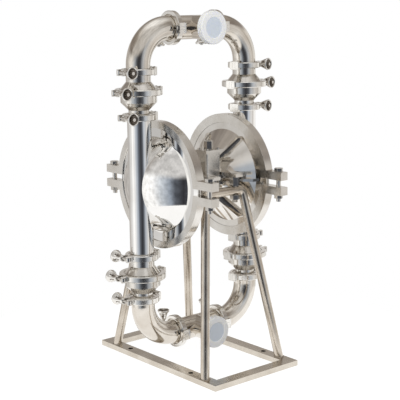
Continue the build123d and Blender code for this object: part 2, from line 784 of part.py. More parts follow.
def big_clamp_places():
    """Places of the four large clamps."""
    return [column_clamp_place(side, z, bolt_side)
            for side in (-1, 1) for z, bolt_side in ((outlet_mid_z, -1), (inlet_mid_z, 1))]


def both_halves(ring_r, lip_r, ferrule_r):
    """The two halves of a clamp."""
    half = clamp_half(ring_r, lip_r, ferrule_r)
    return [half, mirror(half, Plane.XZ)]


def gasket(ferrule_r, bore_r):
    """Flat gasket between two ferrules."""
    return turned([(bore_r, -half_gasket), (ferrule_r, -half_gasket), (ferrule_r, half_gasket), (bore_r, half_gasket)])


def placed(places, shape):
    """A copy of a shape at every place."""
    return [place * shape for place in places]


os.makedirs("parts", exist_ok=True)

save("base_frame", base_frame())
save("front_leg_frame", leg_frame(-1))
save("rear_leg_frame", leg_frame(1))
save("mounting_studs", *at_studs(cylinder_z(stud_r, stud_low_z, stud_high_z)))
save("mounting_nuts", *mounting_nuts())

save("center_block", center_block())
save("air_valve_body", air_valve_body())
save("air_valve_cover", air_valve_cover())
save("air_valve_screws", *air_valve_screws())
save("air_valve_spool", valve_spool())
save("air_inlet_fitting", air_inlet_fitting())
save("exhaust_muffler", exhaust_muffler())

save("shaft", shaft())
save("shaft_bushes", shaft_bush(-1), shaft_bush(1))
save("shaft_seals", shaft_seal(-1), shaft_seal(1))
save("chamber_bolts", *chamber_bolts(-1), *chamber_bolts(1))
for name, side in (("left", -1), ("right", 1)):
    save(f"{name}_diaphragm", diaphragm(side))
    save(f"{name}_inner_plate", inner_plate(side))
    save(f"{name}_outer_plate", outer_plate(side))

right_air = air_chamber()
right_fluid = fluid_chamber()
save("right_air_chamber", right_air)
save("left_air_chamber", mirror(right_air, Plane.YZ))
save("right_fluid_chamber", right_fluid)
save("left_fluid_chamber", mirror(right_fluid, Plane.YZ))
for name, side in (("upper", 1), ("lower", -1)):
    half = band_half(side)
    save(f"right_band_{name}", half)
    save(f"left_band_{name}", mirror(half, Plane.YZ))
save("band_bolts", *at_band_bolts(band_bolt()))
save("band_nuts", *at_band_bolts(
    nut(band_head_half_flats, band_bolt_r + bolt_fit, -band_lug_top - band_head_h, -band_lug_top)))

bowl = valve_bowl()
cone = valve_cone()
ball = Sphere(ball_r)
upper_elbow = elbow(upper_elbow_leg)
lower_elbow = mirror(elbow(lower_elbow_leg), Plane.XY)
for name, side in (("left", -1), ("right", 1)):
    for port, low_z in (("outlet", column_top_z), ("inlet", inlet_end_z)):
        save(f"{port}_{name}_bowl", Pos(side * column_x, 0, low_z) * bowl)
        save(f"{port}_{name}_cone", Pos(side * column_x, 0, low_z + bowl_height) * cone)
        save(f"{port}_{name}_ball", Pos(side * column_x, 0, low_z + ball_z) * ball)
    save(f"outlet_{name}_elbow", Pos(side * column_x, 0, outlet_end_z) * side_turn(side) * upper_elbow)
    save(f"inlet_{name}_elbow", Pos(side * column_x, 0, inlet_end_z) * side_turn(side) * lower_elbow)
for port, axis_z in (("outlet", outlet_axis_z), ("inlet", inlet_axis_z)):
    save(f"{port}_tee", Pos(0, 0, axis_z) * tee())
    save(f"{port}_cap", Pos(0, 0, axis_z) * port_cap())

small_places = small_clamp_places()
big_places = big_clamp_places()
small_halves = both_halves(small_ring_r, small_ring_lip_r, rim_r)
big_halves = both_halves(big_ring_r, big_ring_lip_r, big_rim_r)
save("small_clamp_halves", *[place * half for place in small_places for half in small_halves])
save("large_clamp_halves", *[place * half for place in big_places for half in big_halves])
save("clamp_hinge_links", *placed(small_places, hinge_link(small_ring_r)),
     *placed(big_places, hinge_link(big_ring_r)))
save("clamp_swing_bolts", *placed(small_places, swing_bolt(small_ring_r)),
     *placed(big_places, swing_bolt(big_ring_r)))
save("clamp_nuts", *placed(small_places, clamp_nut(small_ring_r)), *placed(big_places, clamp_nut(big_ring_r)))
save("small_gaskets", *placed(small_places, gasket(rim_r, column_r - column_wall)))
save("large_gaskets", *placed(big_places, gasket(big_rim_r, housing_bore_r)))
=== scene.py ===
import math
import bmesh
import bpy
from mathutils import Matrix, Vector
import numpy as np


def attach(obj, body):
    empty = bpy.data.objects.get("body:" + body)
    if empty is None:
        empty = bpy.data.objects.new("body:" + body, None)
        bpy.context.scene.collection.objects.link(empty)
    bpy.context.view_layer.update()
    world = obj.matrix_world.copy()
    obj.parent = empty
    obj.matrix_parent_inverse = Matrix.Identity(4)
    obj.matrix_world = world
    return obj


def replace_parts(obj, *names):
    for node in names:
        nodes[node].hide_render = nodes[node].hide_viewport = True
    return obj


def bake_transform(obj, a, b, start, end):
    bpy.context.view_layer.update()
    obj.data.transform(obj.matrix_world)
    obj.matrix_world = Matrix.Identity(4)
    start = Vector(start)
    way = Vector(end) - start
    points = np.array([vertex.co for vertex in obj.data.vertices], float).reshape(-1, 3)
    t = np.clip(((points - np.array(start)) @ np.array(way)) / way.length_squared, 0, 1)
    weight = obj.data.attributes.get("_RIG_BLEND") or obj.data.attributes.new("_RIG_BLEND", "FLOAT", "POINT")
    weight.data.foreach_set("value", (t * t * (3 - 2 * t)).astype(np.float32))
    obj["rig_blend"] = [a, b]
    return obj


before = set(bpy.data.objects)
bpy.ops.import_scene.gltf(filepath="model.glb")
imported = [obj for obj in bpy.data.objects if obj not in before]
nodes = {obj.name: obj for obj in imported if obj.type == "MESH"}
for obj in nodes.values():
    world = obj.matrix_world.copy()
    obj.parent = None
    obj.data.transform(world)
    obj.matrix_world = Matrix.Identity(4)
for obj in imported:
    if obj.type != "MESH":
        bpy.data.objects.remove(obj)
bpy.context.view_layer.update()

# ---- base and legs ----
# Flat bar frame with two round rods bent to upside-down U shapes and welded to it. 304 stainless bar,
# ground along its length, so it looks satin, slightly warm and finely streaked. The walls of the drilled
# floor holes are painted dark as painted shade.


def srgb(code):
    """Linear RGBA of a hex colour."""
    parts = [int(code[i:i + 2], 16) / 255 for i in (1, 3, 5)]
    return [p / 12.92 if p <= 0.04045 else ((p + 0.055) / 1.055) ** 2.4 for p in parts] + [1.0]


def node(tree, kind, sockets, **settings):
    """Add a node. Sockets take a value or another node's output, settings are the node's own."""
    made = tree.nodes.new(kind)
    for name, value in settings.items():
        setattr(made, name, value)
    for socket, value in sockets.items():
        if isinstance(value, bpy.types.NodeSocket):
            tree.links.new(value, made.inputs[socket])
        else:
            made.inputs[socket].default_value = value
    return made


def new_material(name):
    """A material with its tree and its shader."""
    material = bpy.data.materials.new(name)
    material.use_nodes = True
    tree = material.node_tree
    return material, tree, tree.nodes["Principled BSDF"]


def two_tones(tree, share, first, second):
    """Colour that turns from one hex colour to another as share goes from 0.3 to 0.7."""
    ramp = node(tree, "ShaderNodeValToRGB", {"Fac": share})
    for element, place, code in zip(ramp.color_ramp.elements, (0.3, 0.7), (first, second)):
        element.position = place
        element.color = srgb(code)
    return ramp.outputs["Color"]


def stainless(name, tint, stain, roughness, grain, depth):
    """Stainless steel. Grain is lines per metre along X, Y and Z, depth is their relief in metres."""
    stains_per_metre, uneven_polish = 22.0, 0.25
    material, tree, shader = new_material(name)
    coords = node(tree, "ShaderNodeTexCoord", {}).outputs["Object"]
    cloud = node(tree, "ShaderNodeTexNoise", {"Vector": coords, "Scale": stains_per_metre, "Detail": 3.0})
    stretch = node(tree, "ShaderNodeMapping", {"Vector": coords, "Scale": grain})
    lines = node(tree, "ShaderNodeTexNoise", {
        "Vector": stretch.outputs["Vector"], "Scale": 1.0, "Detail": 2.0})
    bump = node(tree, "ShaderNodeBump", {
        "Height": lines.outputs["Fac"], "Strength": 0.6, "Distance": depth})
    spread = node(tree, "ShaderNodeMapRange", {
        "Value": lines.outputs["Fac"], "From Min": 0.3, "From Max": 0.7,
        "To Min": roughness * (1 - uneven_polish), "To Max": roughness * (1 + uneven_polish)})
    shader.inputs["Metallic"].default_value = 1.0
    tree.links.new(two_tones(tree, cloud.outputs["Fac"], tint, stain), shader.inputs["Base Color"])
    tree.links.new(spread.outputs["Result"], shader.inputs["Roughness"])
    tree.links.new(bump.outputs["Normal"], shader.inputs["Normal"])
    return material


def dress(material, *names):
    """Give CAD nodes a finish."""
    for name in names:
        nodes[name].data.materials.clear()
        nodes[name].data.materials.append(material)


def piece_from(shape, name, material, body="pump", smooth=True):
    """Make a piece of a bmesh, riding on a body."""
    mesh = bpy.data.meshes.new(name)
    shape.to_mesh(mesh)
    shape.free()
    mesh.polygons.foreach_set("use_smooth", [smooth] * len(mesh.polygons))
    mesh.materials.append(material)
    piece = bpy.data.objects.new(name, mesh)
    bpy.context.scene.collection.objects.link(piece)
    if body:
        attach(piece, body)
    return piece


def eased(name, width, material, body="pump"):
    """Copy of a CAD node with its sharp edges rounded over, standing for that node."""
    same_point, coplanar, sharp = 1e-6, math.radians(0.5), math.radians(28)
    shape = bmesh.new()
    shape.from_mesh(nodes[name].data)
    bmesh.ops.remove_doubles(shape, verts=shape.verts, dist=same_point)
    bmesh.ops.dissolve_limit(shape, angle_limit=coplanar, verts=shape.verts, edges=shape.edges)
    piece = piece_from(shape, f"{name}_eased", material, body)
    for left_over in [a for a in piece.data.attributes if a.name == "custom_normal"]:
        piece.data.attributes.remove(left_over)
    edge = piece.modifiers.new("edges", "BEVEL")
    edge.width, edge.segments, edge.limit_method = width, 2, "ANGLE"
    edge.angle_limit, edge.harden_normals, edge.use_clamp_overlap = sharp, True, True
    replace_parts(piece, name)
    return piece


def bead(shape, matrix, radius, size, steps=56):
    """Weld bead round the Z axis of a matrix, rippled every second step."""
    ripple = 0.12
    stand = Matrix.Translation((radius, 0, 0)) @ Matrix.Rotation(math.pi / 2, 4, "X")
    section = bmesh.ops.create_circle(shape, segments=8, radius=size, matrix=stand)["verts"]
    edges = list({edge for vert in section for edge in vert.link_edges})
    spun = bmesh.ops.spin(shape, geom=section + edges, cent=(0, 0, 0), axis=(0, 0, 1),
                          angle=2 * math.pi, steps=steps, use_merge=True)
    verts = {v for v in spun["geom_last"] if isinstance(v, bmesh.types.BMVert)}
    reached = set(verts)
    while verts:
        verts = {edge.other_vert(vert) for vert in verts for edge in vert.link_edges} - reached
        reached |= verts
    for vert in reached:
        turn = math.atan2(vert.co.y, vert.co.x)
        swell = 1 + ripple * math.cos(turn * steps / 2)
        axis = Vector((math.cos(turn) * radius, math.sin(turn) * radius, 0))
        vert.co = axis + (vert.co - axis) * swell
    faces = list({face for vert in reached for face in vert.link_faces})
    bmesh.ops.recalc_face_normals(shape, faces=faces)
    bmesh.ops.transform(shape, matrix=matrix, verts=list(reached))


ground_bar = stainless("ground_304_flat_bar", "#DDD6CB", "#C9C0B3", 0.24, (700, 40, 700), 0.00002)
ground_rod = stainless("ground_304_round_rod", "#D8CFC2", "#BDB2A4", 0.22, (600, 600, 30), 0.00002)
weld_steel = stainless("brushed_weld_304", "#CFC7BB", "#A89C8E", 0.34, (800, 800, 800), 0.00003)
# Dark colour for the walls of the drilled floor holes: painted shade inside the holes.
painted_hole_wall_shade = stainless("painted_shade_drilled_hole", "#4E4842", "#39342F", 0.5, (300, 300, 300), 0.00002)
bar_frame = eased("base_frame", 0.0009, ground_bar)
bar_frame.data.materials.append(painted_hole_wall_shade)
# Upright faces close to each of the four hole axes get the painted shade colour.
hole_x, hole_y, hole_reach = 0.106, 0.1075, 0.006
for face in bar_frame.data.polygons:
    from_hole = Vector((abs(face.center.x) - hole_x, abs(face.center.y) - hole_y))
    if from_hole.length < hole_reach and abs(face.normal.z) < 0.5:
        face.material_index = 1
dress(ground_rod, "front_leg_frame", "rear_leg_frame")
rod_foot, rod_head = Vector((0.1075, 0.1555, 0.0122)), Vector((0.0515, 0.0970, 0.3882))
weld_path_r, weld_bead_r, weld_flatness = 0.0098, 0.0016, 0.8
widening = 1 / (rod_head - rod_foot).normalized().z ** 0.5
shape = bmesh.new()
for side_x in (-1, 1):
    for side_y in (-1, 1):
        place = Matrix.Translation((rod_foot.x * side_x, rod_foot.y * side_y, rod_foot.z))
        flat = Matrix.Diagonal((widening, widening, weld_flatness, 1))
        bead(shape, place @ flat, weld_path_r, weld_bead_r)
piece_from(shape, "leg_foot_welds", weld_steel)

# ---- mounting studs and nuts ----
# M12 studs through the lugs, with a nut under each leg bar and two jam nuts between bar and lug.
# A2 stainless, cold formed and bright, and the studs carry a rolled thread of 1.75 mm pitch.
bright_bolt = stainless("cold_formed_a2_fastener", "#E2DFDA", "#CCC7C0", 0.16, (300, 300, 300), 0.00001)
thread_pitch, thread_depth = 0.00175, 0.0009
rolled, tree, shader = new_material("rolled_thread_a2_stud")
coords = node(tree, "ShaderNodeTexCoord", {}).outputs["Object"]
# A wave texture has 20 * scale / (2 * pi) bands to a metre.
turns = node(tree, "ShaderNodeTexWave", {"Vector": coords, "Scale": math.pi / (10 * thread_pitch)},
             bands_direction="Z", wave_profile="TRI")
ridge = node(tree, "ShaderNodeBump", {
    "Height": turns.outputs["Fac"], "Strength": 0.8, "Distance": thread_depth})
shader.inputs["Metallic"].default_value = 1.0
shader.inputs["Roughness"].default_value = 0.22
# Colour follows the thread: the roots are painted darker as shade, the crests keep the bright steel colour.
tree.links.new(two_tones(tree, turns.outputs["Fac"], "#8F8980", "#E0DCD6"), shader.inputs["Base Color"])
tree.links.new(ridge.outputs["Normal"], shader.inputs["Normal"])
dress(rolled, "mounting_studs")
eased("mounting_nuts", 0.0007, bright_bolt)

# ---- centre block and air valve ----
# Block between the chambers with the upright air valve in front of it, closed by a screwed cover.
# Investment cast 316, glass bead blasted and lightly polished, so it is an even pale satin.
blasted = stainless("bead_blasted_316_casting", "#E6E3DE", "#D2CEC7", 0.27, (900, 900, 900), 0.00003)
eased("center_block", 0.0012, blasted)
eased("air_valve_body", 0.0010, blasted)
eased("air_valve_cover", 0.0008, blasted)
eased("air_inlet_fitting", 0.0007, bright_bolt)
cover_top, head_height, head_r, key_r, key_depth = 0.475, 0.003, 0.0045, 0.0021, 0.0018
rim_width, rim_rise = 0.0004, 0.0002
shape = bmesh.new()
for x in (-0.0155, 0.0155):
    for y in (-0.0595, -0.0365):
        drum = bmesh.ops.create_cone(
            shape, cap_ends=True, segments=24, radius1=head_r, radius2=head_r, depth=head_height,
            matrix=Matrix.Translation((x, y, cover_top + head_height / 2)))
        faces = {face for vert in drum["verts"] for face in vert.link_faces}
        top = max(faces, key=lambda face: face.calc_center_median().z)
        bmesh.ops.inset_region(shape, faces=[top], thickness=rim_width, depth=rim_rise)
        bmesh.ops.inset_region(shape, faces=[top], thickness=head_r - rim_width - key_r, depth=0)
        sunk = bmesh.ops.extrude_discrete_faces(shape, faces=[top])["faces"][0]
        bmesh.ops.translate(shape, vec=(0, 0, -key_depth), verts=sunk.verts)
screws = piece_from(shape, "cover_socket_screws", bright_bolt, smooth=False)
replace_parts(screws, "air_valve_screws")

# ---- silencer ----
# Sintered bronze silencer in the exhaust port: beads of about half a millimetre fused together,
# so it is a matt brown gold with a fine grainy surface that swallows light. The gaps between the beads are
# painted dark brown as shade.
grain_size = 0.0006
sintered, tree, shader = new_material("sintered_bronze_beads")
coords = node(tree, "ShaderNodeTexCoord", {}).outputs["Object"]
beads = node(tree, "ShaderNodeTexVoronoi", {"Vector": coords, "Scale": 1 / grain_size})
relief = node(tree, "ShaderNodeBump", {
    "Height": beads.outputs["Distance"], "Strength": 0.9, "Distance": grain_size}, invert=True)
shader.inputs["Metallic"].default_value = 1.0
shader.inputs["Roughness"].default_value = 0.5
# Light brown gold on the bead tops, dark brown in the gaps between beads: painted shade.
bronze = two_tones(tree, beads.outputs["Distance"], "#C39A5B", "#5E4526")
tree.links.new(bronze, shader.inputs["Base Color"])
tree.links.new(relief.outputs["Normal"], shader.inputs["Normal"])
dress(sintered, "exhaust_muffler")

# ---- shaft, spool, bushes and plates ----
# Running parts inside the pump: ground 316 shaft and spool in bronze bushes, turned plates on the shaft.
# The shaft is ground and bright, the plates show faint turning rings, the bushes are plain bored bronze.
ground_shaft = stainless("ground_316_shaft", "#E3E1DD", "#D6D3CE", 0.12, (30, 900, 900), 0.00001)
turned_plate = stainless("turned_316_plate", "#DFDDD8", "#CFCBC5", 0.2, (900, 60, 60), 0.00002)
bush_bronze = stainless("bored_tin_bronze", "#C69A58", "#A67C40", 0.28, (700, 50, 50), 0.00002)
dress(ground_shaft, "shaft", "air_valve_spool")
dress(turned_plate, "left_inner_plate", "right_inner_plate", "left_outer_plate", "right_outer_plate")
dress(bush_bronze, "shaft_bushes")
dress(bright_bolt, "chamber_bolts")

# ---- diaphragms ----
# Moulded EPDM discs with one rolled fold, white and food grade. The middle moves with the plates and the
# rim stays in the flange, so each disc is made in sectors that follow both. Matt with a faint fabric grain.
weave_per_metre, weave_depth = 900.0, 0.0002
rubber, tree, shader = new_material("moulded_white_epdm")
coords = node(tree, "ShaderNodeTexCoord", {}).outputs["Object"]
weave = node(tree, "ShaderNodeTexNoise", {
    "Vector": coords, "Scale": weave_per_metre, "Detail": 2.0}).outputs["Fac"]
relief = node(tree, "ShaderNodeBump", {"Height": weave, "Strength": 0.4, "Distance": weave_depth})
shader.inputs["Roughness"].default_value = 0.55
tree.links.new(two_tones(tree, weave, "#E4E1DA", "#D2CEC5"), shader.inputs["Base Color"])
tree.links.new(relief.outputs["Normal"], shader.inputs["Normal"])
axis_z, disc_x, half_thick = 0.404, 0.097, 0.0015
bore_r, roll_in, roll_out, disc_r, roll_deep = 0.0083, 0.064, 0.098, 0.128, 0.008
sectors, sector_steps, roll_steps = 12, 5, 10
middle, half_roll = (roll_in + roll_out) / 2, (roll_out - roll_in) / 2
line = [(bore_r, 0), (0.030, 0), (0.050, 0)]
for step in range(roll_steps + 1):
    angle = step * math.pi / roll_steps
    line.append((middle - half_roll * math.cos(angle), -roll_deep * math.sin(angle)))
line += [(0.112, 0), (disc_r, 0)]
for side, name in ((-1, "left"), (1, "right")):
    parts = []
    for k in range(sectors):
        angle = 2 * math.pi * k / sectors
        shape = bmesh.new()
        loop = [shape.verts.new((r, 0, x + half_thick)) for r, x in line]
        loop += [shape.verts.new((r, 0, x - half_thick)) for r, x in reversed(line)]
        face = shape.faces.new(loop)
        bmesh.ops.spin(shape, geom=[face] + list(face.edges) + list(face.verts), cent=(0, 0, 0),
                       axis=(0, 0, 1), angle=2 * math.pi / sectors, steps=sector_steps)
        bmesh.ops.recalc_face_normals(shape, faces=shape.faces)
        lay = Matrix.Translation((side * disc_x, 0, axis_z)) @ Matrix.Rotation(side * math.pi / 2, 4, "Y")
        bmesh.ops.transform(shape, matrix=lay @ Matrix.Rotation(angle, 4, "Z"), verts=shape.verts)
        piece = piece_from(shape, f"{name}_diaphragm_sector_{k + 1}", rubber, body=None)
        across = lay @ Matrix.Rotation(angle + math.pi / sectors, 4, "Z")
        share = math.cos(math.pi / sectors)
        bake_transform(piece, "pump", "shaft_set", start=tuple(across @ Vector((roll_out * share, 0, 0))),
                 end=tuple(across @ Vector((roll_in * share, 0, 0))))
        parts.append(piece)
    for piece in parts:
        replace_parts(piece, f"{name}_diaphragm")

# ---- gaskets and shaft seals ----
# White EPDM clamp gaskets between the ferrules, flat rings with rounded edges, and seal rings with a
# groove round them on the shaft. Moulded, so they are matt and a little rounded.
column_x, tee_half = 0.148, 0.060
column_top, outlet_mid, outlet_end, outlet_axis = 0.553, 0.605, 0.6465, 0.7335
column_bottom, inlet_mid, inlet_end, inlet_axis = 0.2555, 0.214, 0.162, 0.070


def ring(shape, outline, matrix, steps=48):
    """Ring turned from a closed outline of (radius, height) about the Z axis of a matrix."""
    verts = [shape.verts.new((r, 0, z)) for r, z in outline]
    edges = [shape.edges.new((a, b)) for a, b in zip(verts, verts[1:] + verts[:1])]
    before = set(shape.verts) - set(verts)
    bmesh.ops.spin(shape, geom=verts + edges, cent=(0, 0, 0), axis=(0, 0, 1), angle=2 * math.pi,
                   steps=steps, use_merge=True)
    made = [vert for vert in shape.verts if vert not in before]
    faces = list({face for vert in made for face in vert.link_faces})
    bmesh.ops.recalc_face_normals(shape, faces=faces)
    bmesh.ops.transform(shape, matrix=matrix, verts=made)
    return made


def gasket_outline(outer, inner):
    """Flat ring 2 mm thick with rounded inner and outer edges, as (radius, height)."""
    half, round_off = 0.00098, 0.0005
    upper = [(inner, half - round_off), (inner + round_off, half),
             (outer - round_off, half), (outer, half - round_off)]
    return upper + [(r, -z) for r, z in reversed(upper)]


small_gasket_r, large_gasket_r = 0.0319, 0.0454
neck_bore, end_bore, tee_bore, housing_bore = 0.0235, 0.0240, 0.0238, 0.0362
small = bmesh.new()
for side in (-1, 1):
    for height, bore in ((column_top, neck_bore), (outlet_end, end_bore),
                         (column_bottom, end_bore), (inlet_end, neck_bore)):
        ring(small, gasket_outline(small_gasket_r, bore), Matrix.Translation((side * column_x, 0, height)))
    for height in (outlet_axis, inlet_axis):
        place = Matrix.Translation((side * tee_half, 0, height)) @ Matrix.Rotation(math.pi / 2, 4, "Y")
        ring(small, gasket_outline(small_gasket_r, tee_bore), place)
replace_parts(piece_from(small, "small_clamp_gaskets", rubber), "small_gaskets")
large = bmesh.new()
for side in (-1, 1):
    for height in (outlet_mid, inlet_mid):
        place = Matrix.Translation((side * column_x, 0, height))
        ring(large, gasket_outline(large_gasket_r, housing_bore), place)
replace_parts(piece_from(large, "large_clamp_gaskets", rubber), "large_gaskets")
seal_in, seal_out, seal_near, seal_far = 0.01256, 0.01597, 0.0301, 0.0359
groove_half, groove_depth, seal_mid = 0.0008, 0.0012, (seal_near + seal_far) / 2
outline = [(seal_in, seal_near), (seal_out, seal_near), (seal_out, seal_mid - groove_half),
           (seal_out - groove_depth, seal_mid), (seal_out, seal_mid + groove_half), (seal_out, seal_far),
           (seal_in, seal_far)]
seals = bmesh.new()
for side in (-1, 1):
    place = Matrix.Translation((0, 0, axis_z)) @ Matrix.Rotation(side * math.pi / 2, 4, "Y")
    ring(seals, outline, place)
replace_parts(piece_from(seals, "grooved_shaft_seals", rubber), "shaft_seals")

# ---- air and fluid chambers ----
# Deep drawn 316 domes with the column welded through them, and ribbed cast air chambers behind.
# Both are mirror polished outside, so they show the bright studio and its one dark side in sharp bands.
mirror_dome = stainless("mirror_polished_316", "#F4F3F1", "#EBE9E6", 0.035, (25, 25, 25), 0.00001)
mirror_cone = stainless("polished_316_casting", "#EFECE7", "#DDD8D1", 0.08, (120, 120, 120), 0.00002)
dress(mirror_dome, "left_fluid_chamber", "right_fluid_chamber")
dress(mirror_cone, "left_air_chamber", "right_air_chamber")

# ---- V clamps ----
# Two cast half rings round the chamber flanges, pulled together by a bolt through the lugs on each side.
# Machined and tumbled 304, bright satin with softened edges.
tumbled = stainless("tumbled_304_clamp", "#EBE8E3", "#D9D4CC", 0.2, (500, 500, 500), 0.00002)
for name in ("left_band_upper", "left_band_lower", "right_band_upper", "right_band_lower"):
    eased(name, 0.0013, tumbled)
eased("band_bolts", 0.0006, bright_bolt)
eased("band_nuts", 0.0006, bright_bolt)

# ---- check valve housings and manifold ----
# Turned bowls and cones with a ball between them, and polished elbows and tees of two inch tube.
# The housings show fine turning rings, the tube is polished along its length and a little warmer.
turned_housing = stainless("turned_316_housing", "#E9E6E1", "#D3CEC6", 0.13, (30, 30, 900), 0.00004)
polished_tube = stainless("belt_polished_316_tube", "#E8E3DB", "#D2CABF", 0.12, (90, 90, 90), 0.00001)
ptfe, tree, shader = new_material("turned_white_ptfe")
coords = node(tree, "ShaderNodeTexCoord", {}).outputs["Object"]
clouds_per_metre = 60.0
wax = node(tree, "ShaderNodeTexNoise", {"Vector": coords, "Scale": clouds_per_metre}).outputs["Fac"]
shader.inputs["Roughness"].default_value = 0.35
shader.inputs["Subsurface Weight"].default_value = 0.15
tree.links.new(two_tones(tree, wax, "#F2F1EC", "#E8E6DF"), shader.inputs["Base Color"])
for side in ("left", "right"):
    for port in ("outlet", "inlet"):
        dress(turned_housing, f"{port}_{side}_bowl", f"{port}_{side}_cone")
        dress(polished_tube, f"{port}_{side}_elbow")
        dress(ptfe, f"{port}_{side}_ball")
dress(polished_tube, "outlet_tee", "inlet_tee")

# ---- port caps ----
# Push-on caps of natural polyethylene over the open ports. Translucent milky white, smooth from the
# mould; over the bore the thin recessed face is painted a pale blue grey disc, painted shade of the dark
# bore.
disc_edge, disc_blend, milk_per_metre = 0.0215, 0.0015, 80.0


def cap_plastic(name, height):
    """Natural polyethylene, with a bluer disc of painted shade over the bore whose axis runs along Y at a
    height.
    """
    material, tree, shader = new_material(name)
    coords = node(tree, "ShaderNodeTexCoord", {}).outputs["Object"]
    centred = node(tree, "ShaderNodeVectorMath", {0: coords, 1: (0, 0, height)}, operation="SUBTRACT")
    flat = node(tree, "ShaderNodeVectorMath", {0: centred.outputs["Vector"], 1: (1, 0, 1)},
                operation="MULTIPLY")
    reach = node(tree, "ShaderNodeVectorMath", {0: flat.outputs["Vector"]}, operation="LENGTH")
    share = node(tree, "ShaderNodeMapRange", {
        "Value": reach.outputs["Value"],
        "From Min": disc_edge - disc_blend, "From Max": disc_edge + disc_blend})
    milk = node(tree, "ShaderNodeTexNoise", {"Vector": coords, "Scale": milk_per_metre}).outputs["Fac"]
    haze = node(tree, "ShaderNodeMapRange", {"Value": milk, "To Min": 0.3, "To Max": 0.42})
    # Milky white cap with a pale blue grey disc painted over the bore as the shade of the dark bore.
    milk_and_bore_shade = two_tones(tree, share.outputs["Result"], "#DCE4EE", "#FAFBFB")
    tree.links.new(milk_and_bore_shade, shader.inputs["Base Color"])
    tree.links.new(haze.outputs["Result"], shader.inputs["Roughness"])
    shader.inputs["Subsurface Weight"].default_value = 0.3
    shader.inputs["Subsurface Radius"].default_value = (0.004, 0.004, 0.005)
    return material


for port, height in (("outlet", outlet_axis), ("inlet", inlet_axis)):
    plastic = cap_plastic(f"natural_polyethylene_{port}", height)
    eased(f"{port}_cap", 0.0007, plastic, body=f"{port}_cap")

# ---- pipe clamps ----
# Hinged half rings that pull two ferrules together: a double link and two pins on one side, a swing bolt
# with a flared four-lobed nut on the other. Investment cast 304, tumbled bright; the nut pockets and cups
# are painted darker as shade.
clamp_cast = stainless("tumbled_304_pipe_clamp", "#F0EEEA", "#E0DCD5", 0.17, (450, 450, 450), 0.00002)
eased("small_clamp_halves", 0.0006, clamp_cast)
eased("large_clamp_halves", 0.0007, clamp_cast)
dress(clamp_cast, "clamp_hinge_links")
dress(bright_bolt, "clamp_swing_bolts")
small_ring, big_ring, right_upper_turn = 0.036, 0.050, math.radians(14)
# Each place has the clamp's axis along Z, its hinge at +X and its swing bolt at -X.
clamp_places = []
for side in (-1, 1):
    for height, upper, ring_r in (
            (column_top, True, small_ring), (outlet_mid, True, big_ring), (outlet_end, True, small_ring),
            (column_bottom, False, small_ring), (inlet_mid, False, big_ring),
            (inlet_end, False, small_ring)):
        place = Matrix.Translation((side * column_x, 0, height))
        if side > 0 and upper:
            place @= Matrix.Rotation(right_upper_turn, 4, "Z")
        if side > 0:
            place @= Matrix.Rotation(math.pi, 4, "Z")
        if upper == (side > 0):
            place @= Matrix.Rotation(math.pi, 4, "X")
        clamp_places.append((place, ring_r))
    for height, over in ((outlet_axis, math.pi), (inlet_axis, 0)):
        place = Matrix.Translation((side * tee_half, 0, height)) @ Matrix.Rotation(over, 4, "Y")
        place @= Matrix.Rotation(math.pi / 2, 4, "Y") @ Matrix.Rotation(-math.pi / 2, 4, "Z")
        clamp_places.append((place, small_ring))
# Section of the flared nut as (radius, height) in millimetres: outside, rim, then the cup.
nut_outline = [
    (3.65, 11.5), (6.1, 11.5), (6.5, 12.0), (6.5, 17.0), (7.4, 19.5), (8.8, 23.0), (10.6, 27.5),
    (12.3, 32.0), (13.3, 35.0), (13.5, 36.4), (13.3, 38.2), (12.6, 38.95), (11.7, 38.95),
    (10.9, 37.8), (8.6, 34.6), (6.0, 32.6), (3.65, 32.2)]
lobes, pocket_low, pocket_high, pocket_share, pocket_fullness = 4, 0.0172, 0.0345, 0.56, 0.7
hub_r, web_r, dark_below = 0.0066, 0.0052, 0.8
# Dark colour for the deep pocket walls and the cup of each nut: painted shade.
nut_pocket_shade = stainless("painted_shade_304_pocket", "#8A8279", "#6A625A", 0.42, (600, 600, 600), 0.00003)
cup_r, cup_floor, bolt_offset = 0.0110, 0.0320, 0.0065
nuts = bmesh.new()
for place, ring_r in clamp_places:
    deep = set()
    made = ring(nuts, [(r / 1000, z / 1000) for r, z in nut_outline], Matrix.Identity(4), steps=32)
    for vert in made:
        radius, height = Vector(vert.co.xy).length, vert.co.z
        if radius > hub_r and pocket_low < height < pocket_high:
            along = (height - pocket_low) / (pocket_high - pocket_low)
            lobe = 0.5 - 0.5 * math.cos(lobes * math.atan2(vert.co.y, vert.co.x))
            shrink = 1 - pocket_share * lobe * math.sin(math.pi * along) ** pocket_fullness
            vert.co.xy = Vector(vert.co.xy) * max(shrink, web_r / radius)
            if shrink < dark_below:
                deep.add(vert)
        elif radius < cup_r and height > cup_floor:
            deep.add(vert)
    # Faces lying wholly in a pocket or the cup take the painted shade material.
    for face in {face for vert in deep for face in vert.link_faces}:
        face.material_index = int(all(vert in deep for vert in face.verts))
    stand = place @ Matrix.Translation((-ring_r - bolt_offset, 0, 0)) @ Matrix.Rotation(math.pi / 2, 4, "X")
    bmesh.ops.transform(nuts, matrix=stand, verts=made)
flared_nuts = piece_from(nuts, "clamp_flared_nuts", clamp_cast)
flared_nuts.data.materials.append(nut_pocket_shade)
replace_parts(flared_nuts, "clamp_nuts")
pin_r, pin_half, pin_reach, pin_offset = 0.0022, 0.0096, 0.0066, 0.0018
pins = bmesh.new()
for place, ring_r in clamp_places:
    for y in (-pin_reach, pin_reach):
        bmesh.ops.create_cone(
            pins, cap_ends=True, segments=16, radius1=pin_r, radius2=pin_r, depth=2 * pin_half,
            matrix=place @ Matrix.Translation((ring_r + pin_offset, y, 0)))
pins_piece = piece_from(pins, "clamp_hinge_pins", bright_bolt, smooth=False)
edge = pins_piece.modifiers.new("edges", "BEVEL")
